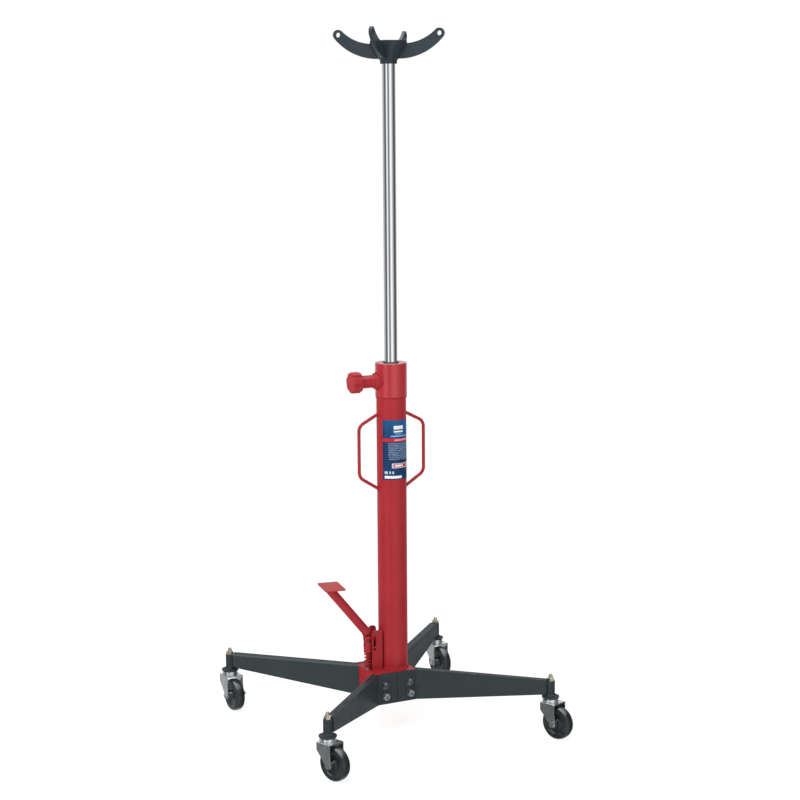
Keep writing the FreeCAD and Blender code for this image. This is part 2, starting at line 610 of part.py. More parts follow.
def castor_wheel(corner):
    """Turned about its own Z axis, then laid on the axle."""
    body = new_body("castor_wheel_" + corner)
    upper = [("boss_dia/2", "boss_width/2"), ("boss_dia/2", "recess_floor/2"),
             ("recess_dia/2", "recess_floor/2"), ("recess_dia/2+recess_draft", "wheel_width/2"),
             ("wheel_dia/2", "wheel_width/2")]
    lower = [(radius, "-" + height) for radius, height in reversed(upper)]
    bore = [("wheel_bore/2", "-boss_width/2"), ("wheel_bore/2", "boss_width/2")]
    revolve(body, bore + upper + lower)
    dress(body, "Fillet", "wheel_round", circle_edges(SIZES["wheel_dia"] / 2))
    yaw = CORNERS[corner][2]
    castor_place(body, corner, yaw)
    lay = FreeCAD.Rotation(Z_AXIS, yaw).multiply(FreeCAD.Rotation(X_AXIS, 90))
    hand, turn, _ = CORNERS[corner]
    side = hand * (1 if turn == 0 else -1)
    front = -1 if turn == 0 else 1
    body.Placement = FreeCAD.Placement(FreeCAD.Vector(), lay)
    body.setExpression(".Placement.Base.x", ref("chassis_x%s%s+trail*cos(%s)" % (
        "+" if side > 0 else "-", CASTOR_X, yaw)))
    body.setExpression(".Placement.Base.y", ref("%s%s+trail*sin(%s)" % (
        "+" if front > 0 else "-", CASTOR_Y, yaw)))
    body.setExpression(".Placement.Base.z", ref("wheel_dia/2"))


for corner in CORNERS:
    castor_socket(corner)
group("castor_stems", [castor_stem(corner) for corner in CORNERS])
group("castor_stem_nuts", [castor_nut(corner) for corner in CORNERS])
for make in (castor_fork, castor_axle, castor_wheel):
    for corner in CORNERS:
        make(corner)

# ---------------------------------------------------------------- ram
ram = new_body("ram_rod")
revolve(ram, [
    ("0", "neck_bottom"),
    ("neck_dia/2", "neck_bottom"),
    ("neck_dia/2", "piston_top"),
    ("ram_dia/2", "piston_top"),
    ("ram_dia/2", "ram_shoulder"),
    ("spigot_dia/2", "ram_shoulder"),
    ("spigot_dia/2", "spigot_top"),
    ("screw_hole/2", "spigot_top"),
    ("screw_hole/2", "spigot_top-screw_depth"),
    ("0", "spigot_top-screw_depth"),
])
piston = new_body("ram_piston")
revolve(piston, [
    ("neck_bore/2", "piston_bottom"),
    ("piston_dia/2", "piston_bottom"),
    ("piston_dia/2", "groove_bottom"),
    ("groove_dia/2", "groove_bottom"),
    ("groove_dia/2", "groove_top"),
    ("piston_dia/2", "groove_top"),
    ("piston_dia/2", "piston_top"),
    ("neck_bore/2", "piston_top"),
])
seal = new_body("piston_seal")
pad(seal, draw(seal, "XY_Plane", "groove_bottom",
               circles=[("0", "0", "seal_dia"), ("0", "0", "groove_dia")]),
    "groove_top-groove_bottom")
screw = new_body("saddle_screw")
revolve(screw, [
    ("0", "spigot_top-screw_depth+seam_gap"),
    ("screw_hole/2", "spigot_top-screw_depth+seam_gap"),
    ("screw_hole/2", "spigot_top"),
    ("screw_washer_dia/2", "spigot_top"),
    ("screw_washer_dia/2", "spigot_top+screw_washer_thickness"),
    ("screw_head_dia/2", "spigot_top+screw_washer_thickness"),
    ("screw_head_dia/2", "spigot_top+screw_washer_thickness+screw_head_height"),
    ("0", "spigot_top+screw_washer_thickness+screw_head_height"),
])
pocket(screw, draw(screw, "XY_Plane", "spigot_top+screw_washer_thickness+screw_head_height",
                   [hexagon("0", "0", "screw_socket_across")]), "screw_socket_depth", -1)

# ---------------------------------------------------------------- saddle
HUB_OUTER = [("hub_foot_dia/2", "ram_shoulder"),
             ("hub_foot_dia/2", "ram_shoulder+hub_foot_height"),
             ("hub_rim_dia/2", "hub_shoulder"),
             ("hub_rim_dia/2", "hub_top")]
hub = new_body("saddle_hub")
revolve(hub, [("hub_bore/2", "ram_shoulder")] + HUB_OUTER + [
    ("hub_cup_dia/2", "hub_top"), ("hub_cup_dia/2", "hub_floor"), ("hub_bore/2", "hub_floor")])


def saddle_arm(corner, angle):
    """Crescent plate: a disc less a second disc, trimmed, with an eyed ear at its tip."""
    body = new_body("saddle_arm_" + corner)
    thick = "arm_thickness"
    pad(body, draw(body, "XZ_Plane", circles=[("lower_arc_r", "lower_arc_z", "lower_arc_radius*2")]),
        thick, middle=True)
    pocket(body, draw(body, "XZ_Plane",
                      circles=[("upper_arc_r", "upper_arc_z", "upper_arc_radius*2")]),
           thick + "*2", middle=True)
    run, rise = "2*lower_arc_radius*cos(ear_slope)", "2*lower_arc_radius*sin(ear_slope)"
    top = [("ear_r-" + run, "ear_z+" + rise), ("ear_r+" + run, "ear_z-" + rise),
           ("ear_r+%s+%s" % (run, rise), "ear_z-%s+%s" % (rise, run)),
           ("ear_r-%s+%s" % (run, rise), "ear_z+%s+%s" % (rise, run))]
    side = rectangle("-lower_arc_radius*2", "hub_bore/2", "lower_arc_z-lower_arc_radius*2",
                     "lower_arc_z+lower_arc_radius*2")
    pocket(body, draw(body, "XZ_Plane", outlines=[top]), thick + "*2", middle=True)
    pocket(body, draw(body, "XZ_Plane", outlines=[side]), thick + "*2", middle=True)
    pad(body, draw(body, "XZ_Plane", circles=[("ear_r", "ear_z", "ear_dia")]), thick, middle=True)
    pocket(body, draw(body, "XZ_Plane", circles=[("ear_r", "ear_z", "ear_hole_dia")]),
           thick + "*2", middle=True)
    sketch = draw(body, "XZ_Plane", outlines=[[("0", "ram_shoulder-hub_foot_height")]
                                              + [("hub_foot_dia/2", "ram_shoulder-hub_foot_height")]
                                              + HUB_OUTER[1:-1]
                                              + [("hub_rim_dia/2", "hub_top+hub_foot_height"),
                                                 ("0", "hub_top+hub_foot_height")]])
    before = body.Shape.Volume
    groove = body.newObject("PartDesign::Groove", body.Name + "_groove")
    groove.Profile = sketch
    groove.ReferenceAxis = (sketch, ["V_Axis"])
    groove.Angle = 360
    doc.recompute()
    if body.Shape.Volume > before - TINY:
        raise ValueError("the hub cuts nothing from " + body.Label)
    place(body, angle=angle)


for corner, angle in (("front", -135), ("right", -45), ("back", 45), ("left", 135)):
    saddle_arm(corner, angle)

# ---------------------------------------------------------------- release valve
spindle = new_body("release_spindle")
revolve(spindle, [
    ("-spindle_tip-seam_gap", "0"),
    ("-spindle_end", "0"),
    ("-spindle_end", "spindle_dia/2"),
    ("-spindle_cone", "spindle_dia/2"),
], axis="H_Axis")
place(spindle, z="knob_z")
knob = new_body("release_knob")
pad(knob, draw(knob, "YZ_Plane", "-knob_start", circles=[("0", "0", "knob_dia")]),
    "knob_end-knob_start", -1)
dress(knob, "Fillet", "knob_round", circle_edges(SIZES["knob_dia"] / 2))
notch = pocket(knob, draw(knob, "YZ_Plane", "-knob_start",
                          circles=[("0", "notch_ring_dia/2", "notch_dia")]),
               "knob_end-knob_start", -1)
ring = knob.newObject("PartDesign::PolarPattern", "notch_ring")
ring.Originals = [notch]
ring.Axis = ([datum for datum in knob.Origin.OriginFeatures if datum.Role == "X_Axis"][0], [""])
ring.Angle = 360
ring.setExpression("Occurrences", ref("notch_count"))
knob.Tip = ring
doc.recompute()
pocket(knob, draw(knob, "YZ_Plane", "-knob_start", circles=[("0", "0", "knob_bore")]),
       "knob_bore_depth", -1)
place(knob, z="knob_z")

# ---------------------------------------------------------------- pump
barrel = new_body("pump_barrel")
revolve(barrel, [
    ("0", "barrel_bottom"),
    ("barrel_dia/2", "barrel_bottom"),
    ("barrel_dia/2", "box_top"),
    ("barrel_collar_dia/2", "box_top"),
    ("barrel_collar_dia/2", "barrel_top"),
    ("barrel_bore/2", "barrel_top"),
    ("barrel_bore/2", "barrel_floor"),
    ("0", "barrel_floor"),
])
place(barrel, "pump_x", "pump_y")

plunger = new_body("pump_plunger")
pad(plunger, draw(plunger, "XY_Plane", "plunger_bottom", circles=[("pump_x", "pump_y", "plunger_dia")]),
    "clevis_bottom-plunger_bottom+seam_gap")
pad(plunger, draw(plunger, "XY_Plane", "clevis_bottom", circles=[("pump_x", "pump_y", "clevis_dia")]),
    "clevis_top-clevis_bottom")
dress(plunger, "Chamfer", "clevis_chamfer", circle_edges(SIZES["clevis_dia"] / 2))
pocket(plunger, draw(plunger, "XY_Plane", "clevis_slot_floor", [
    rectangle("pump_x-clevis_dia", "pump_x+clevis_dia",
              "pump_y-clevis_slot_half", "pump_y+clevis_slot_half")]),
       "clevis_top-clevis_slot_floor+seam_gap", 1)
pocket(plunger, draw(plunger, "XZ_Plane", "pump_y", [
    rectangle("pump_x+(pin_slot_left)", "pump_x+(pin_slot_right)",
              "pin_z-pin_slot_dia/2", "pin_z+pin_slot_dia/2")]), str(LONG_CUT), middle=True)
for place_x in ("pin_slot_left", "pin_slot_right"):
    pocket(plunger, draw(plunger, "XZ_Plane", "pump_y",
                         circles=[("pump_x+(%s)" % place_x, "pin_z", "pin_slot_dia")]),
           str(LONG_CUT), middle=True)

coil = doc.addObject("Part::Helix", "spring_line")
for name, text in (("Pitch", "spring_pitch"), ("Radius", "spring_mean_dia/2"),
                   ("Height", "clevis_bottom-barrel_top-spring_wire-2*spring_gap")):
    coil.setExpression(name, ref(text))
wire = doc.addObject("Part::Circle", "spring_section")
wire.setExpression("Radius", ref("spring_wire/2"))
wire.Placement = FreeCAD.Placement(FreeCAD.Vector(), FreeCAD.Rotation(X_AXIS, 90))
for item, across in ((coil, "pump_x"), (wire, "pump_x+spring_mean_dia/2")):
    item.setExpression(".Placement.Base.x", ref(across))
    item.setExpression(".Placement.Base.y", ref("pump_y"))
    item.setExpression(".Placement.Base.z", ref("barrel_top+spring_wire/2+spring_gap"))
spring = doc.addObject("Part::Sweep", "return_spring")
spring.Label = "return_spring"
spring.Sections = [wire]
spring.Spine = (coil, ["Edge1"])
spring.Solid = True
spring.Frenet = True
nodes.append(spring)

def ear_top_edges(height, left):
    """The short edges across an ear at its two top corners."""
    def chosen(edge):
        box = edge.BoundBox
        corner = min(abs(box.XMin - left), abs(box.XMin - SIZES["post_right"])) < TINY
        return corner and abs(box.ZMin - height) < TINY and box.XLength < TINY and box.ZLength < TINY
    return chosen


post = new_body("pump_post")
pad(post, draw(post, "XY_Plane", "box_top", [
    rectangle("post_left", "post_right", "post_front", "post_front+post_ear")]), "post_top-box_top")
pad(post, draw(post, "XY_Plane", "box_top", [
    rectangle("post_right-post_web", "post_right", "post_front+post_ear", "post_back-post_ear")]),
    "post_web_top-box_top")
pad(post, draw(post, "XY_Plane", "box_top", [
    rectangle("post_far_left", "post_right", "post_back-post_ear", "post_back")]),
    "post_far_top-box_top")
dress(post, "Fillet", "post_round", ear_top_edges(SIZES["post_top"], SIZES["post_left"]))
dress(post, "Fillet", "post_far_round", ear_top_edges(SIZES["post_far_top"], SIZES["post_far_left"]))
window = rectangle("window_left", "window_right", "window_bottom", "window_top")
pocket(post, draw(post, "XZ_Plane", "post_front", [window]), "post_ear*2", middle=True)
pocket(post, draw(post, "XZ_Plane", "post_front",
                  circles=[("post_hole_x", "post_hole_z", "post_hole_dia")]), "post_ear*2", middle=True)
pocket(post, draw(post, "XZ_Plane", "pump_y", circles=[("pivot_x", "pivot_z", "pivot_hole")]),
       str(LONG_CUT), middle=True)

pivot = new_body("pedal_pivot_pin")
pad(pivot, draw(pivot, "XZ_Plane", "post_front", circles=[("pivot_x", "pivot_z", "pivot_dia")]),
    "post_back-post_front", 1)
for face, toward in (("post_front", -1), ("post_back", 1)):
    pad(pivot, draw(pivot, "XZ_Plane", face, circles=[("pivot_x", "pivot_z", "pivot_head_dia")]),
        "pivot_head_height", toward)
outer_faces = (SIZES["post_front"] - SIZES["pivot_head_height"],
               SIZES["post_back"] + SIZES["pivot_head_height"])
dress(pivot, "Fillet", "seam_gap*2",
      lambda edge: circle_edges(SIZES["pivot_head_dia"] / 2)(edge)
      and any(abs(edge.BoundBox.YMin - face) < TINY for face in outer_faces))

# ---------------------------------------------------------------- pedal
PERP = ("arm_od/2*sin(arm_angle)", "arm_od/2*cos(arm_angle)")
tongue = new_body("pedal_fork")
outline = [
    ("arm_base_x+%s" % PERP[0], "arm_base_z+%s" % PERP[1]),
    ("pivot_x+pedal_hub_dia/8", "pivot_z+pedal_hub_dia/2"),
    ("pivot_x", "pivot_z-pedal_hub_dia/2"),
    ("pin_x+pin_boss_dia/5", "pin_z-pin_boss_dia/2"),
    ("pin_x-pin_boss_dia/2", "pin_z"),
    ("arm_base_x-%s" % PERP[0], "arm_base_z-%s" % PERP[1]),
]
pad(tongue, draw(tongue, "XZ_Plane", "pump_y", [outline]), "tongue_half*2", middle=True)
pad(tongue, draw(tongue, "XZ_Plane", "pump_y", circles=[("pin_x", "pin_z", "pin_boss_dia")]),
    "tongue_half*2", middle=True)
pad(tongue, draw(tongue, "XZ_Plane", "post_front+post_ear+hub_gap",
                 circles=[("pivot_x", "pivot_z", "pedal_hub_dia")]),
    "post_back-post_front-2*post_ear-2*hub_gap", 1)
pocket(tongue, draw(tongue, "XZ_Plane", "pump_y", circles=[("pivot_x", "pivot_z", "hub_hole")]),
       str(LONG_CUT), middle=True)
pocket(tongue, draw(tongue, "XZ_Plane", "pump_y", circles=[("pin_x", "pin_z", "pin_hole")]),
       str(LONG_CUT), middle=True)

pin = new_body("plunger_pin")
pad(pin, draw(pin, "XZ_Plane", "pump_y", circles=[("pin_x", "pin_z", "pin_dia")]),
    "pin_half*2", middle=True)

arm = new_body("pedal_arm")
pad(arm, draw(arm, "XY_Plane", circles=[("0", "0", "arm_od"), ("0", "0", "arm_id")]), "arm_length")
trim = [("-arm_od", "(plate_bottom-arm_base_z)/sin(arm_angle)+arm_od/tan(arm_angle)"),
        ("arm_od", "(plate_bottom-arm_base_z)/sin(arm_angle)-arm_od/tan(arm_angle)"),
        ("arm_od", "arm_length*2"), ("-arm_od", "arm_length*2")]
pocket(arm, draw(arm, "XZ_Plane", outlines=[trim]), "arm_od*2", middle=True)
place(arm, "arm_base_x", "pump_y", "arm_base_z", Y_AXIS, SIZES["arm_angle"] - 90)

plate = new_body("pedal_plate")
foot = rectangle("-plate_length/2", "plate_length/2", "-plate_width/2", "plate_width/2")
pad(plate, draw(plate, "XY_Plane", outlines=[foot]), "plate_thickness")
dress(plate, "Fillet", "plate_round",
      lambda edge: edge.BoundBox.XLength < TINY and edge.BoundBox.YLength < TINY)
place(plate, "plate_x", "pump_y", "plate_bottom", angle=SIZES["plate_yaw"])

# ---------------------------------------------------------------- checks and export
doc.recompute()
for item in doc.Objects:
    if "Invalid" in item.State or "Error" in item.State:
        raise RuntimeError("%s failed: %s" % (item.Label, item.State))
os.makedirs("parts", exist_ok=True)
for item in nodes:
    if item.Shape.isNull() or not item.Shape.isValid():
        raise RuntimeError("bad shape in " + item.Label)
for item in nodes:
    item.Shape.exportStep("parts/%s.step" % item.Label)
print("%d nodes" % len(nodes))
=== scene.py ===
import json
import math
import random

import bmesh
import bpy
from mathutils import Matrix, Vector


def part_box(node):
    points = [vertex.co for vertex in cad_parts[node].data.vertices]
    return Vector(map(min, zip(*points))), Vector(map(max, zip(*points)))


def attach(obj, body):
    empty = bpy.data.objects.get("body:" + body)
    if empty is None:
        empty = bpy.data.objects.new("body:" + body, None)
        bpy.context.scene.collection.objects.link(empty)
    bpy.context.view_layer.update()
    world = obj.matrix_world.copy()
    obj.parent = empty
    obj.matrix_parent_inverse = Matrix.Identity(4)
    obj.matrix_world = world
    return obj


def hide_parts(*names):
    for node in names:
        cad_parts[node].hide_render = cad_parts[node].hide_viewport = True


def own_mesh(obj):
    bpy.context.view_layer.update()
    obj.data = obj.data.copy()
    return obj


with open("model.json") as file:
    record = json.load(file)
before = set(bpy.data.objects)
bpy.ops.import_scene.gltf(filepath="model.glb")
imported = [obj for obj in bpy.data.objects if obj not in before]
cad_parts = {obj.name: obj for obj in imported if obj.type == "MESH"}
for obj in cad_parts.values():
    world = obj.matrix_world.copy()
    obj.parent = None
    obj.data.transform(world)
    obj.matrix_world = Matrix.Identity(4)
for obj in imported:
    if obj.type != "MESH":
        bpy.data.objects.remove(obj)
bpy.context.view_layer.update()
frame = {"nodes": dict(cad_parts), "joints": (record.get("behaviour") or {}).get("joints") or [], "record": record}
random.seed(11)
MM = 0.001
CORNERS = ("front", "right", "back", "left")


# ------------------------------------------------------------------ node helpers
class Graph:
    """Short calls for building a material's nodes."""

    def __init__(self, name):
        self.material = bpy.data.materials.new(name)
        self.material.use_nodes = True
        self.nodes = self.material.node_tree.nodes
        self.links = self.material.node_tree.links
        self.nodes.clear()
        self.output = self.nodes.new("ShaderNodeOutputMaterial")
        self.shader = self.nodes.new("ShaderNodeBsdfPrincipled")
        self.links.new(self.shader.outputs[0], self.output.inputs[0])
        self.place = self.nodes.new("ShaderNodeTexCoord").outputs["Object"]

    def put(self, value, socket):
        if isinstance(value, bpy.types.NodeSocket):
            self.links.new(value, socket)
        elif isinstance(value, (tuple, list)) and len(value) == 3 and len(socket.default_value) == 4:
            socket.default_value = (*value, 1)
        else:
            socket.default_value = value

    def set(self, **inputs):
        for name, value in inputs.items():
            self.put(value, self.shader.inputs[name.replace("_", " ")])

    def math(self, kind, *values):
        node = self.nodes.new("ShaderNodeMath")
        node.operation = kind
        for value, socket in zip(values, node.inputs):
            self.put(value, socket)
        return node.outputs[0]

    def noise(self, scale, detail=3, rough=0.5, stretch=None):
        node = self.nodes.new("ShaderNodeTexNoise")
        node.inputs["Scale"].default_value = scale
        node.inputs["Detail"].default_value = detail
        node.inputs["Roughness"].default_value = rough
        self.links.new(self.stretched(stretch), node.inputs["Vector"])
        return node.outputs["Fac"]

    def voronoi(self, scale):
        node = self.nodes.new("ShaderNodeTexVoronoi")
        node.inputs["Scale"].default_value = scale
        self.links.new(self.place, node.inputs["Vector"])
        return node.outputs["Distance"]

    def stretched(self, stretch):
        if stretch is None:
            return self.place
        node = self.nodes.new("ShaderNodeVectorMath")
        node.operation = "MULTIPLY"
        node.inputs[1].default_value = stretch
        self.links.new(self.place, node.inputs[0])
        return node.outputs[0]

    def ramp(self, value, low, high, out_low=0.0, out_high=1.0):
        node = self.nodes.new("ShaderNodeMapRange")
        node.clamp = True
        for name, number in (("From Min", low), ("From Max", high), ("To Min", out_low),
                             ("To Max", out_high)):
            node.inputs[name].default_value = number
        self.put(value, node.inputs["Value"])
        return node.outputs[0]

    def mix(self, factor, first, second, kind="MIX"):
        node = self.nodes.new("ShaderNodeMix")
        node.data_type = "RGBA"
        node.blend_type = kind
        self.put(factor, node.inputs["Factor"])
        for value, socket in ((first, node.inputs[6]), (second, node.inputs[7])):
            self.put(value, socket)
        return node.outputs[2]

    def rounded(self, radius, samples=6):
        node = self.nodes.new("ShaderNodeBevel")
        node.samples = samples
        node.inputs["Radius"].default_value = radius
        return node.outputs[0]

    def edges(self, radius=0.0016):
        """White where the surface turns sharply: a mask for wear and thin paint, and on paint also for a painted
        edge highlight.
        """
        soft = self.rounded(radius)
        flat = self.nodes.new("ShaderNodeNewGeometry").outputs["Normal"]
        node = self.nodes.new("ShaderNodeVectorMath")
        node.operation = "DOT_PRODUCT"
        self.links.new(soft, node.inputs[0])
        self.links.new(flat, node.inputs[1])
        return self.ramp(node.outputs["Value"], 0.995, 0.86)

    def bump(self, height, distance, strength=1.0, base=None):
        node = self.nodes.new("ShaderNodeBump")
        node.inputs["Strength"].default_value = strength
        node.inputs["Distance"].default_value = distance
        self.put(height, node.inputs["Height"])
        if base is not None:
            self.links.new(base, node.inputs["Normal"])
        return node.outputs[0]

    def dull(self, tone, normal, gloss):
        """Mix plain diffuse into the shader so that only a share of it shines."""
        flat = self.nodes.new("ShaderNodeBsdfDiffuse")
        self.put(tone, flat.inputs["Color"])
        self.put(normal, flat.inputs["Normal"])
        node = self.nodes.new("ShaderNodeMixShader")
        self.put(gloss, node.inputs[0])
        self.links.new(flat.outputs[0], node.inputs[1])
        self.links.new(self.shader.outputs[0], node.inputs[2])
        self.links.new(node.outputs[0], self.output.inputs[0])

    def axes(self):
        node = self.nodes.new("ShaderNodeSeparateXYZ")
        self.links.new(self.place, node.inputs[0])
        return node.outputs


def paint(name, colour, deep, worn_and_highlight_tone, rough=0.24, gloss=0.5, bevel=0.0012, edge_wear_and_highlight=0.5):
    """Sprayed paint: faint colour drift, orange peel, dust in the gloss, lighter at edges, partly as chipped paint
    and partly as a painted highlight.
    """
    g = Graph(name)
    drift = g.ramp(g.noise(7, 4), 0.3, 0.7)
    tone = g.mix(drift, colour, deep)
    edge = g.edges()
    # sharp edges turn toward the pale tone: partly chipped paint, partly a painted highlight along the edges
    chips_and_edge_highlight = g.math("MULTIPLY", edge, g.ramp(g.noise(90, 5, 0.7), 0.46, 0.62))
    tone = g.mix(g.math("MULTIPLY", chips_and_edge_highlight, edge_wear_and_highlight), tone, worn_and_highlight_tone)
    specks = g.ramp(g.voronoi(420), 0.05, 0.0)
    tone = g.mix(g.math("MULTIPLY", specks, 0.25), tone, worn_and_highlight_tone)
    smudge = g.ramp(g.noise(24, 6, 0.65), 0.35, 0.75, rough * 0.75, rough * 1.6)
    peel = g.noise(420, 2, 0.4)
    sag = g.noise(38, 2, 0.4)
    normal = g.bump(peel, 0.00035, 0.32, g.rounded(bevel))
    normal = g.bump(sag, 0.0012, 0.22, normal)
    g.set(Base_Color=tone, Roughness=smudge, Normal=normal, IOR=1.5)
    g.dull(tone, normal, gloss)
    return g.material


PALE_ZINC = (0.56, 0.52, 0.42)


def zinc_plate(name, colour, tint, rough=0.3, scale=140, pale_above=None):
    """Bright zinc: grey metal with cloudy spangle and light scratches, paler above a height."""
    g = Graph(name)
    spangle = g.voronoi(scale)
    cloud = g.noise(60, 5, 0.6)
    tone = g.mix(g.ramp(cloud, 0.3, 0.7), colour, tint)
    if pale_above is not None:
        tone = g.mix(g.math("GREATER_THAN", g.axes()[2], pale_above), tone, PALE_ZINC)
    tone = g.mix(0.14, tone, spangle, "OVERLAY")
    scratch = g.noise(180, 3, 0.6, (1, 1, 12))
    grime = g.math("MULTIPLY", g.edges(0.002), g.ramp(g.noise(70, 4), 0.4, 0.65))
    tone = g.mix(g.math("MULTIPLY", grime, 0.35), tone, (0.16, 0.15, 0.14))
    g.set(Base_Color=tone, Metallic=1.0, Roughness=g.ramp(scratch, 0.3, 0.7, rough * 0.7, rough * 1.5),
          Normal=g.bump(scratch, 0.0002, 0.35, g.rounded(0.0009)))
    return g.material


def chrome_bar(name):
    """Hard chrome ground round its axis: fine hoop lines, a whisper of oil."""
    g = Graph(name)
    hoops = g.noise(30, 2, 0.5, (0.4, 0.4, 160))
    film = g.noise(9, 4, 0.6, (1, 1, 0.3))
    g.set(Base_Color=g.mix(g.ramp(film, 0.35, 0.7), (0.84, 0.85, 0.87), (0.76, 0.77, 0.79)),
          Metallic=1.0, Roughness=g.ramp(film, 0.3, 0.75, 0.05, 0.11),
          Normal=g.bump(hoops, 0.00004, 0.4))
    return g.material


def rubber(name, colour, dusty, rough=0.55, bevel=0.001):
    g = Graph(name)
    scuff = g.ramp(g.noise(60, 6, 0.7), 0.42, 0.72)
    grain = g.noise(900, 3, 0.6)
    tone = g.mix(g.math("MULTIPLY", scuff, 0.55), colour, dusty)
    g.set(Base_Color=tone, Roughness=g.ramp(scuff, 0, 1, rough * 0.8, rough * 1.25),
          Normal=g.bump(grain, 0.0002, 0.4, g.rounded(bevel)))
    return g.material


def threaded(name, axis, pitch, colour):
    """Plated steel with thread ridges across one axis, with painted shade darkening the thread roots."""
    g = Graph(name)
    along = g.axes()[axis]
    wave = g.math("SINE", g.math("MULTIPLY", along, math.tau / pitch))
    # painted shade: the colour darkens in the thread roots and stays full on the crests
    tone = g.mix(g.ramp(wave, -1, 1), (colour[0] * 0.35,) * 3, colour)
    g.set(Base_Color=tone, Metallic=1.0, Roughness=0.34,
          Normal=g.bump(wave, 0.0006, 0.8, g.rounded(0.0005)))
    return g.material


def printed_label(name):
    """Blue rating label with plain bands and bars: no lettering."""
    g = Graph(name)
    x, y, z = g.axes()
    low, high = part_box("rating_label")
    angle = g.math("MULTIPLY", g.math("ARCTAN2", x, g.math("MULTIPLY", y, -1.0)), 180 / math.pi)
    rise = g.math("DIVIDE", g.math("SUBTRACT", z, low.z), high.z - low.z)

    def box(left, right, bottom, top):
        inside = [g.math("GREATER_THAN", angle, left), g.math("LESS_THAN", angle, right),
                  g.math("GREATER_THAN", rise, bottom), g.math("LESS_THAN", rise, top)]
        mask = inside[0]
        for part in inside[1:]:
            mask = g.math("MULTIPLY", mask, part)
        return mask

    # painted light: the label's blue gets lighter toward its top and toward one side round the column
    painted_light_gradient = g.ramp(g.math("ADD", rise, g.math("DIVIDE", angle, 260)), 0.45, 1.1)
    tone = g.mix(painted_light_gradient, (0.003, 0.032, 0.105), (0.010, 0.115, 0.32))
    tone = g.mix(g.ramp(g.noise(35, 2), 0.4, 0.8, 0, 0.4), tone, (0.018, 0.10, 0.24))
    tone = g.mix(box(-62, 62, 0.638, 0.692), tone, (0.62, 0.012, 0.02))
    tone = g.mix(box(-16, 44, 0.652, 0.678), tone, (0.85, 0.30, 0.30))
    for left, right, bottom, top in ((-18, 22, 0.845, 0.905), (-18, 22, 0.795, 0.822)):
        tone = g.mix(box(left, right, bottom, top), tone, (0.86, 0.88, 0.90))
    tone = g.mix(box(-14, 18, 0.762, 0.775), tone, (0.20, 0.42, 0.72))
    tone = g.mix(box(-30, 40, 0.722, 0.742), tone, (0.24, 0.50, 0.78))
    comb = g.math("GREATER_THAN", g.math("FRACT", g.math("MULTIPLY", rise, 34)), 0.5)
    gaps = g.math("GREATER_THAN", g.noise(300, 2, 0.6, (1, 1, 0.8)), 0.42)
    lines = g.math("MULTIPLY", g.math("MULTIPLY", comb, gaps), box(-40, 46, 0.335, 0.615))
    tone = g.mix(g.math("MULTIPLY", lines, 0.55), tone, (0.42, 0.52, 0.64))
    tone = g.mix(box(-26, 48, 0.195, 0.275), tone, (0.62, 0.64, 0.72))
    tone = g.mix(box(-20, 42, 0.208, 0.262), tone, (0.60, 0.03, 0.05))
    tone = g.mix(box(-14, 20, 0.222, 0.250), tone, (0.88, 0.86, 0.88))
    for left, right in ((-55, -42), (-36, -30), (-25, -18)):
        tone = g.mix(box(left, right, 0.098, 0.142), tone, (0.50, 0.62, 0.72))
    tone = g.mix(box(-55, 15, 0.022, 0.066), tone, (0.90, 0.91, 0.92))
    scuff = g.ramp(g.noise(110, 6, 0.7), 0.62, 0.8)
    tone = g.mix(g.math("MULTIPLY", scuff, 0.14), tone, (0.50, 0.58, 0.64))
    g.set(Base_Color=tone, Roughness=g.ramp(g.noise(50, 3), 0.3, 0.7, 0.26, 0.42),
          Normal=g.bump(g.noise(60, 2), 0.0004, 0.3))
    g.dull(tone, g.rounded(0.0005), 0.5)
    return g.material


RED = (0.43, 0.028, 0.036)
RED_DEEP = (0.37, 0.020, 0.028)
# pale tone for chipped paint and flecks, also used as the painted highlight on edges
RED_WORN_AND_HIGHLIGHT = (0.60, 0.14, 0.13)
red_paint = paint("red_paint", RED, RED_DEEP, RED_WORN_AND_HIGHLIGHT, rough=0.32, gloss=0.45, edge_wear_and_highlight=0.35)
# the pedal plate's paint is a lighter copy of the red: partly worn and dusty tread, partly painted light for its
# top lit from above
red_tread_worn_and_lit = paint("red_tread_worn_and_lit", (0.49, 0.058, 0.060), (0.44, 0.048, 0.050), RED_WORN_AND_HIGHLIGHT, rough=0.36,
                  gloss=0.45, edge_wear_and_highlight=0.5)
# the collar's paint is glossier, and its lighter base red is partly painted light standing in for the collar's
# brighter lit look
red_gloss_lit = paint("red_gloss_lit", (0.47, 0.036, 0.046), RED, RED_WORN_AND_HIGHLIGHT, rough=0.09, gloss=1.0,
                  edge_wear_and_highlight=0.35)
black_paint = paint("black_paint", (0.036, 0.047, 0.051), (0.029, 0.039, 0.043),
                    (0.17, 0.17, 0.17), rough=0.27, gloss=0.34, bevel=0.0016, edge_wear_and_highlight=0.35)
saddle_paint = paint("saddle_paint", (0.026, 0.040, 0.050), (0.018, 0.027, 0.033),
                     (0.13, 0.14, 0.15), rough=0.26, gloss=0.55, bevel=0.0016, edge_wear_and_highlight=0.4)
zinc = zinc_plate("zinc_plate", (0.66, 0.67, 0.68), (0.47, 0.48, 0.49), 0.26)
stem_zinc = zinc_plate("stem_zinc", (0.80, 0.83, 0.87), (0.60, 0.63, 0.67), 0.16,
                       pale_above=150 * MM)
pale_zinc = zinc_plate("pale_zinc", PALE_ZINC, (0.46, 0.43, 0.36), 0.36, 220)
dark_steel = zinc_plate("dark_steel", (0.20, 0.21, 0.22), (0.13, 0.135, 0.14), 0.36, 260)
bare_steel = zinc_plate("bare_steel", (0.52, 0.52, 0.52), (0.42, 0.42, 0.42), 0.28, 90)
ram_chrome = chrome_bar("ram_chrome")
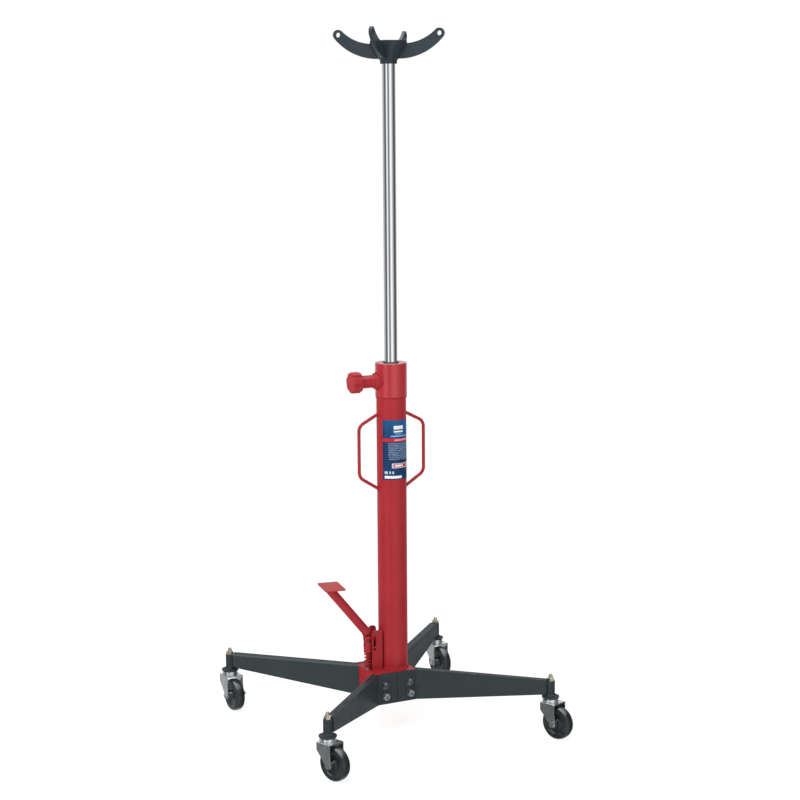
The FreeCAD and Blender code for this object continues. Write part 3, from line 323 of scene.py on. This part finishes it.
wheel_black = rubber("wheel_black", (0.011, 0.015, 0.016), (0.036, 0.046, 0.049), 0.30)
seal_black = rubber("seal_rubber", (0.012, 0.012, 0.012), (0.05, 0.05, 0.05), 0.5)
stud_thread = threaded("stud_thread", "Y", 1.5 * MM, (0.34, 0.35, 0.36))
label_print = printed_label("label_print")

SLOT_MATERIALS = {
    "red_paint": red_paint, "black_paint": black_paint, "zinc": zinc, "dark_steel": dark_steel,
    "bare_steel": bare_steel, "ram_chrome": ram_chrome, "wheel_tread": wheel_black,
    "seal_rubber": seal_black, "label_print": label_print,
}
OWN_MATERIALS = {
    "castor_stem_nuts": pale_zinc, "castor_stems": stem_zinc, "flange_studs": stud_thread,
    "flange_nuts": zinc, "head_collar": red_gloss_lit, "pedal_plate": red_tread_worn_and_lit,
    "saddle_hub": saddle_paint,
}
OWN_MATERIALS.update({"saddle_arm_" + corner: saddle_paint for corner in CORNERS})
for part in frame["record"]["subparts"]:
    node = frame["nodes"][part["node"]]
    look = OWN_MATERIALS.get(part["node"], SLOT_MATERIALS[part["material_slot"]])
    node.data.materials.clear()
    node.data.materials.append(look)


# ------------------------------------------------------------------ mesh helpers
def new_object(name, mesh, material, body):
    piece = bpy.data.objects.new(name, mesh)
    bpy.context.scene.collection.objects.link(piece)
    mesh.materials.append(material)
    for face in mesh.polygons:
        face.use_smooth = True
    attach(piece, body)
    return piece


def tube_mesh(name, points, radii, sides=12, closed=False):
    """A tube along points in metres, one radius each, with its ends closed."""
    mesh = bpy.data.meshes.new(name)
    bm = bmesh.new()
    count = len(points)
    rings = []
    side = None
    for i, point in enumerate(points):
        ahead = points[(i + 1) % count] if closed or i + 1 < count else point
        behind = points[i - 1] if closed or i > 0 else point
        along = (ahead - behind).normalized()
        if side is None:
            guide = Vector((0, 0, 1)) if abs(along.z) < 0.9 else Vector((1, 0, 0))
            side = along.cross(guide).normalized()
        side = (side - along * side.dot(along)).normalized()
        up = along.cross(side)
        ring = []
        for k in range(sides):
            turn = math.tau * k / sides
            ring.append(bm.verts.new(point + (side * math.cos(turn) + up * math.sin(turn)) * radii[i]))
        rings.append(ring)
    last = count if closed else count - 1
    for i in range(last):
        near, far = rings[i], rings[(i + 1) % count]
        for k in range(sides):
            bm.faces.new((near[k], near[(k + 1) % sides], far[(k + 1) % sides], far[k]))
    if not closed:
        bm.faces.new(list(reversed(rings[0])))
        bm.faces.new(rings[-1])
    bmesh.ops.recalc_face_normals(bm, faces=bm.faces)
    bm.to_mesh(mesh)
    bm.free()
    return mesh


def weld(name, points, width, body, material, closed=False, ripple=0.0035):
    """A weld bead: a low rippled tube along a seam."""
    if closed:
        points = points + [points[0]]
    spots, radii = [], []
    spans = [(b - a).length for a, b in zip(points, points[1:])]
    total = sum(spans)
    steps = max(12, int(total / (0.5 * MM)))
    stop = steps if closed else steps + 1
    for i in range(stop):
        target = total * i / steps
        rest, index = target, 0
        while index < len(spans) - 1 and rest > spans[index]:
            rest -= spans[index]
            index += 1
        start, end = points[index], points[index + 1]
        spots.append(start.lerp(end, min(1.0, rest / max(spans[index], 1e-9))))
        phase = target / ripple * math.tau
        radii.append(width / 2 * (1 + 0.13 * math.sin(phase) + 0.08 * random.uniform(-1, 1)))
    if not closed:
        for k, share in ((0, 0.35), (1, 0.75), (-1, 0.35), (-2, 0.75)):
            radii[k] *= share
    mesh = tube_mesh(name, spots, radii, 8, closed)
    return new_object(name, mesh, material, body)


def circle_points(centre, radius, count):
    """Points on a level circle."""
    turns = [math.tau * i / count for i in range(count)]
    return [centre + Vector((radius * math.cos(turn), radius * math.sin(turn), 0)) for turn in turns]


def size(node):
    low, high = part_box(node)
    return low, high, (low + high) / 2


# ------------------------------------------------------------------ column and head
tube_low, tube_high, tube_mid = size("column_tube")
column_radius = (tube_high.x - tube_low.x) / 2
axis_point = Vector((tube_mid.x, tube_mid.y, 0))
ROUND = 120
SEAM_GAP = 0.6 * MM


def red_weld(name, points, width, body="base", closed=False):
    return weld(name, points, width, body, red_paint, closed)


def black_weld(name, points, width, body="base", closed=False):
    return weld(name, points, width, body, black_paint, closed)


def ring_at(height, radius):
    return circle_points(axis_point + Vector((0, 0, height)), radius, ROUND)


red_weld("weld_column_foot", ring_at(tube_low.z + 1.0 * MM, column_radius + 0.2 * MM), 5 * MM,
         closed=True)
red_weld("weld_collar", ring_at(tube_high.z - 0.6 * MM, column_radius + 0.3 * MM), 3.4 * MM,
         closed=True)

stub_low, stub_high, stub_mid = size("release_stub")
collar_low, collar_high, _ = size("head_collar")
collar_radius = (collar_high.x - collar_low.x) / 2
flare_radius = (stub_high.z - stub_low.z) / 2
stub_seam = []
for i in range(ROUND):
    turn = math.tau * i / ROUND
    across = (flare_radius + SEAM_GAP) * math.cos(turn)
    stub_seam.append(Vector((-math.sqrt(collar_radius ** 2 - across ** 2), across,
                             stub_mid.z + (flare_radius + SEAM_GAP) * math.sin(turn))))
red_weld("weld_release_stub", stub_seam, 5.5 * MM, closed=True)

# ------------------------------------------------------------------ carry handle welds
ROD_END = 0.43
ROD_SLOPE = math.radians(32)
for side, node in ((1, "carry_handle_right"), (-1, "carry_handle_left")):
    low, high, _ = size(node)
    rod = high.y - low.y
    for end, height in (("low", low.z + rod * ROD_END), ("high", high.z - rod * ROD_END)):
        loop = []
        for i in range(40):
            turn = math.tau * i / 40
            across = (rod / 2 + SEAM_GAP) * math.cos(turn)
            rise = (rod / 2 + SEAM_GAP) * math.sin(turn) / math.cos(ROD_SLOPE)
            out = math.sqrt(column_radius ** 2 - across ** 2)
            loop.append(Vector((side * out, across, height + rise)))
        red_weld("weld_%s_%s" % (node, end), loop, 3.2 * MM, closed=True)

# ------------------------------------------------------------------ legs
LEG_ANGLE = math.radians(45)
AXIS_INSET = 13 * MM
PLATE = 8 * MM
LEG_WIDTH = 26 * MM
LEG_LENGTH = 379.3 * MM
SIGNS = {"front": (-1, -1), "right": (1, -1), "back": (1, 1), "left": (-1, 1)}
joints = {joint["name"]: joint for joint in frame["joints"]}


def leg_point(corner, along, inset, height):
    """A point on a leg: distance from the bend, inset from the bolted face, height."""
    sx, sy = SIGNS[corner]
    direction = Vector((sx * math.cos(LEG_ANGLE), sy * math.sin(LEG_ANGLE), 0))
    across = Vector((sx * math.sin(LEG_ANGLE), -sy * math.cos(LEG_ANGLE), 0))
    foot = Vector(joints["swivel_%s_turn" % corner]["pos_m"])
    foot.z = 0
    return (foot + direction * (along - LEG_LENGTH) + across * (inset - AXIS_INSET)
            + Vector((0, 0, height)))


TIP_BOTTOM = 122 * MM
DISC_TOP = 117.4 * MM
DISC_SEAM = 13.6 * MM
SOCKET_GAP = 9.5 * MM
EDGE_INSET = 0.8 * MM
# stitch welds along the top seam of each leg: start and stop in millimetres from the bend
STITCHES = {
    "front": ((60, 84), (236, 262), (316, 338)),
    "right": ((22, 46), (196, 220), (300, 322)),
    "back": ((70, 94), (220, 244)),
    "left": ((90, 112), (250, 276)),
}
for corner in CORNERS:
    _, plate_high, _ = size("leg_plate_" + corner)
    top = plate_high.z
    for number, (start, stop) in enumerate(STITCHES[corner]):
        black_weld("weld_leg_%s_%d" % (corner, number),
                   [leg_point(corner, start * MM, PLATE, top - EDGE_INSET),
                    leg_point(corner, stop * MM, PLATE, top - EDGE_INSET)], 3.4 * MM)
    along = LEG_LENGTH - SOCKET_GAP
    for label, inset in (("face", EDGE_INSET), ("back", LEG_WIDTH - EDGE_INSET)):
        black_weld("weld_socket_%s_%s" % (corner, label),
                   [leg_point(corner, along, inset, TIP_BOTTOM + 2 * MM),
                    leg_point(corner, along, inset, top - 6 * MM)], 4.5 * MM)
    foot = size("castor_socket_" + corner)[2]
    foot.z = DISC_TOP + 1.2 * MM
    black_weld("weld_disc_" + corner, circle_points(foot, DISC_SEAM, 60), 4 * MM, closed=True)

# ------------------------------------------------------------------ saddle welds
CONE_FOOT = Vector((28.9, 0, 1843)) * MM
CONE_SHOULDER = Vector((50.4, 0, 1875)) * MM
ARM_TOP = Vector((50.4, 0, 1880)) * MM
ARM_SIDE = 4.6 * MM
for corner, angle in (("front", -135), ("right", -45), ("back", 45), ("left", 135)):
    facing = Matrix.Rotation(math.radians(angle), 3, "Z")
    for side, sign in (("left", -1), ("right", 1)):
        seam = [facing @ (spot + Vector((0, sign * ARM_SIDE, 0)))
                for spot in (CONE_FOOT, CONE_SHOULDER, ARM_TOP)]
        weld("weld_arm_%s_%s" % (corner, side), seam, 4.4 * MM, "saddle", saddle_paint)

# ------------------------------------------------------------------ pump details
post_low, post_high, _ = size("pump_post")
FAR_EAR = -65 * MM
foot = post_low.z + 0.4 * MM
for name, left, y in (("near", post_low.x, post_low.y), ("far", FAR_EAR, post_high.y)):
    red_weld("weld_post_" + name, [Vector((left + 1 * MM, y, foot)),
                                   Vector((post_high.x - 1 * MM, y, foot))], 4 * MM)
red_weld("weld_post_web", [Vector((post_high.x, post_low.y + 1 * MM, foot)),
                           Vector((post_high.x, post_high.y - 1 * MM, foot))], 3 * MM)

spring_low, spring_high, _ = size("return_spring")
_, barrel_high, barrel_mid = size("pump_barrel")
ARM_SLOPE = math.radians(50.5)
arm_axis = Vector((-math.cos(ARM_SLOPE), 0, math.sin(ARM_SLOPE)))
arm_foot = Vector((-82.2 * MM, barrel_mid.y, 268.5 * MM))
arm_side = Vector((arm_axis.z, 0, -arm_axis.x))


def round_arm(turn, radius):
    """A point round the pedal tube at the foot of its axis."""
    return arm_foot + (arm_side * math.cos(turn) + Vector((0, 1, 0)) * math.sin(turn)) * radius


turns_round = [math.tau * i / 60 for i in range(60)]
ARM_RADIUS = 12.5 * MM
red_weld("weld_arm_foot", [round_arm(turn, ARM_RADIUS - 0.1 * MM) for turn in turns_round], 3.4 * MM,
         "pedal", True)
plate_low, _, _ = size("pedal_plate")
seam_height = plate_low.z - 0.5 * MM
loop = []
for turn in turns_round:
    spot = round_arm(turn, ARM_RADIUS)
    loop.append(spot + arm_axis * ((seam_height - spot.z) / arm_axis.z))
red_weld("weld_pedal_plate", loop, 3.6 * MM, "pedal", True)

# return spring: an open coil with a closed turn at each end
clevis_foot = 209 * MM
wire = 3.5 * MM
COIL_TURNS, CLOSED_TURNS, STEPS_PER_TURN = 5.4, 0.9, 40
closed_pitch = wire * 1.04
coil_radius = (spring_high.y - spring_low.y) / 2 - wire / 2
coil_foot, coil_head = barrel_high.z + wire / 2, clevis_foot - wire / 2
open_rise = coil_head - coil_foot - 2 * CLOSED_TURNS * closed_pitch
coil = []
for i in range(int(COIL_TURNS * STEPS_PER_TURN) + 1):
    turn = i / STEPS_PER_TURN
    share = min(max((turn - CLOSED_TURNS) / (COIL_TURNS - 2 * CLOSED_TURNS), 0), 1)
    closed = min(turn, CLOSED_TURNS) + max(turn - (COIL_TURNS - CLOSED_TURNS), 0)
    rise = closed_pitch * closed + share * open_rise
    coil.append(Vector((barrel_mid.x + coil_radius * math.cos(turn * math.tau),
                        barrel_mid.y + coil_radius * math.sin(turn * math.tau), coil_foot + rise)))
spring = new_object("spring_coil", tube_mesh("spring_coil", coil, [wire / 2] * len(coil), 12),
                    red_paint, "base")
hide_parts("return_spring")
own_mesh(spring)

# ------------------------------------------------------------------ wheels
# half of the wheel's section, bore to tread: radius and half width in millimetres
WHEEL_HALF = [(4.1, 22.0), (10.2, 22.0), (11.4, 21.2), (12.2, 18.5), (13.2, 12.6), (15.0, 10.0),
              (19.5, 9.2), (20.4, 10.0), (21.4, 9.2), (26.0, 9.2), (28.6, 10.2), (29.6, 12.6),
              (30.8, 13.4), (33.0, 13.6), (33.6, 13.0), (34.4, 13.7), (37.0, 14.0), (39.8, 13.8),
              (42.0, 12.8), (43.7, 10.9), (44.8, 8.4), (45.4, 5.4), (45.65, 2.4), (45.7, 0.5)]


def lathe(name, profile, steps=96):
    """Turn (radius, width) pairs in millimetres about the Y axis; the profile closes on itself."""
    mesh = bpy.data.meshes.new(name)
    bm = bmesh.new()
    rings = []
    for i in range(steps):
        turn = math.tau * i / steps
        rings.append([bm.verts.new((r * MM * math.cos(turn), w * MM, r * MM * math.sin(turn)))
                      for r, w in profile])
    for i in range(steps):
        near, far = rings[i], rings[(i + 1) % steps]
        for k in range(len(profile)):
            j = (k + 1) % len(profile)
            bm.faces.new((near[k], near[j], far[j], far[k]))
    bmesh.ops.recalc_face_normals(bm, faces=bm.faces)
    bm.to_mesh(mesh)
    bm.free()
    return mesh


profile = WHEEL_HALF + [(r, -w) for r, w in reversed(WHEEL_HALF)]
for corner in CORNERS:
    roll = joints["wheel_%s_roll" % corner]
    axle = Vector(roll["axis"])
    mesh = lathe("wheel_" + corner, profile)
    mesh.transform(Matrix.Translation(Vector(roll["pos_m"]))
                   @ Vector((0, 1, 0)).rotation_difference(axle).to_matrix().to_4x4())
    wheel = new_object("wheel_" + corner, mesh, wheel_black, "wheel_" + corner)
    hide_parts("castor_wheel_" + corner)

# ------------------------------------------------------------------ camera, floor and light
# the camera stands in front of the jack, turned round it by the heading; lengths in metres
HEADING, PITCH, YAW, ROLL = (math.radians(angle) for angle in (27.209, 8.678, 0.282, -0.400))
DISTANCE, EYE_HEIGHT = 4.9472, 1.6710
FOCAL = 1817.2
FRAME_WIDTH = 800
SENSOR = 36


def turned(vector, angle):
    c, s = math.cos(angle), math.sin(angle)
    return Vector((c * vector[0] - s * vector[1], s * vector[0] + c * vector[1], vector[2]))


right = turned((math.cos(YAW), -math.sin(YAW), 0), -HEADING)
ahead = turned((math.sin(YAW) * math.cos(PITCH), math.cos(YAW) * math.cos(PITCH), -math.sin(PITCH)),
               -HEADING)
up = right.cross(ahead)
camera_x = right * math.cos(ROLL) + up * math.sin(ROLL)
camera_y = up * math.cos(ROLL) - right * math.sin(ROLL)
lens = bpy.data.cameras.new("camera")
lens.sensor_width = SENSOR
lens.lens = FOCAL * SENSOR / FRAME_WIDTH
lens.clip_end = 200
camera = bpy.data.objects.new("camera", lens)
bpy.context.scene.collection.objects.link(camera)
spot = turned((0, -DISTANCE, EYE_HEIGHT), -HEADING)
camera.matrix_world = Matrix((
    (camera_x.x, camera_y.x, -ahead.x, spot.x),
    (camera_x.y, camera_y.y, -ahead.y, spot.y),
    (camera_x.z, camera_y.z, -ahead.z, spot.z),
    (0, 0, 0, 1)))
bpy.context.scene.camera = camera

FLOOR = 40
floor_mesh = bpy.data.meshes.new("floor")
floor_corners = [(-FLOOR, -FLOOR, 0), (FLOOR, -FLOOR, 0), (FLOOR, FLOOR, 0), (-FLOOR, FLOOR, 0)]
floor_mesh.from_pydata(floor_corners, [], [(0, 1, 2, 3)])
floor = bpy.data.objects.new("floor", floor_mesh)
bpy.context.scene.collection.objects.link(floor)
g = Graph("floor_white")
g.set(Base_Color=(0.36, 0.36, 0.36), Roughness=0.9, Specular_IOR_Level=0.0,
      Emission_Color=(1, 1, 1), Emission_Strength=0.83)
floor_mesh.materials.append(g.material)
floor.visible_glossy = False


def area_light(name, azimuth, elevation, distance, width, height, power, aim=(0, 0, 0.9)):
    """A soft box; azimuth is to the right of the camera, seen from the object."""
    data = bpy.data.lights.new(name, "AREA")
    data.shape = "RECTANGLE"
    data.size, data.size_y = width, height
    data.energy = power
    lamp = bpy.data.objects.new(name, data)
    bpy.context.scene.collection.objects.link(lamp)
    heading = math.atan2(spot.y, spot.x) + math.radians(azimuth)
    lift = math.radians(elevation)
    lamp.location = Vector(aim) + distance * Vector((math.cos(lift) * math.cos(heading),
                                                     math.cos(lift) * math.sin(heading), math.sin(lift)))
    lamp.rotation_euler = (Vector(aim) - lamp.location).to_track_quat("-Z", "Y").to_euler()
    lamp.visible_glossy = False


area_light("key", -35, 30, 4.0, 1.6, 2.6, 70)
area_light("top", 0, 80, 3.0, 2.5, 2.5, 25)

# soft fill for matt surfaces; shiny ones see a striped studio wall below a bright ceiling
FILL = 0.46
CEILING = (5.58, 6.0, 6.18, 1)
CEILING_START, CEILING_FULL = 0.66, 0.9
world = bpy.data.worlds.new("studio")
bpy.context.scene.world = world
world.use_nodes = True
tree = world.node_tree
tree.nodes.clear()
output = tree.nodes.new("ShaderNodeOutputWorld")
ways = tree.nodes.new("ShaderNodeLightPath")
place = tree.nodes.new("ShaderNodeTexCoord")


def dotted(vector):
    node = tree.nodes.new("ShaderNodeVectorMath")
    node.operation = "DOT_PRODUCT"
    node.inputs[1].default_value = vector
    tree.links.new(place.outputs["Generated"], node.inputs[0])
    return node.outputs["Value"]


back = Vector((spot.x, spot.y, 0)).normalized()
sideways = Vector((-back.y, back.x, 0))
angle = tree.nodes.new("ShaderNodeMath")
angle.operation = "ARCTAN2"
tree.links.new(dotted(sideways), angle.inputs[0])
tree.links.new(dotted(back), angle.inputs[1])
share = tree.nodes.new("ShaderNodeMapRange")
share.inputs["From Min"].default_value = -math.pi
share.inputs["From Max"].default_value = math.pi
tree.links.new(angle.outputs[0], share.inputs["Value"])
ramp = tree.nodes.new("ShaderNodeValToRGB")
tree.links.new(share.outputs[0], ramp.inputs[0])
# the wall's brightness by angle round the jack, in degrees from the camera
STOPS = [(-180, 0.78), (-146, 0.72), (-108, 0.50), (-83, 0.16), (-60, 0.10), (-49, 1.0), (-37, 1.3),
         (-25, 0.50), (-8, 0.10), (8, 0.80), (25, 1.35), (43, 0.85), (62, 0.36), (83, 0.10),
         (110, 0.10), (146, 0.62), (180, 0.78)]
band = ramp.color_ramp
band.interpolation = "LINEAR"
for number, (degrees, level) in enumerate(STOPS):
    stop = band.elements.new((degrees + 180) / 360) if number else band.elements[0]
    stop.color = (level, level, level, 1)
shiny_sky = tree.nodes.new("ShaderNodeBackground")
plain = tree.nodes.new("ShaderNodeBackground")
plain.inputs["Color"].default_value = (1, 1, 1, 1)
backdrop = tree.nodes.new("ShaderNodeMapRange")
backdrop.inputs["To Min"].default_value = FILL
backdrop.inputs["To Max"].default_value = 1.0
tree.links.new(ways.outputs["Is Camera Ray"], backdrop.inputs["Value"])
tree.links.new(backdrop.outputs[0], plain.inputs["Strength"])
ceiling = tree.nodes.new("ShaderNodeMapRange")
ceiling.inputs["From Min"].default_value = CEILING_START
ceiling.inputs["From Max"].default_value = CEILING_FULL
tree.links.new(dotted((0, 0, 1)), ceiling.inputs["Value"])
overhead = tree.nodes.new("ShaderNodeMix")
overhead.data_type = "RGBA"
overhead.inputs[7].default_value = CEILING
tree.links.new(ceiling.outputs[0], overhead.inputs["Factor"])
tree.links.new(ramp.outputs[0], overhead.inputs[6])
tree.links.new(overhead.outputs[2], shiny_sky.inputs["Color"])
chooser = tree.nodes.new("ShaderNodeMixShader")
tree.links.new(ways.outputs["Is Glossy Ray"], chooser.inputs[0])
tree.links.new(plain.outputs[0], chooser.inputs[1])
tree.links.new(shiny_sky.outputs[0], chooser.inputs[2])
tree.links.new(chooser.outputs[0], output.inputs[0])
bpy.context.scene.view_settings.view_transform = "Standard"
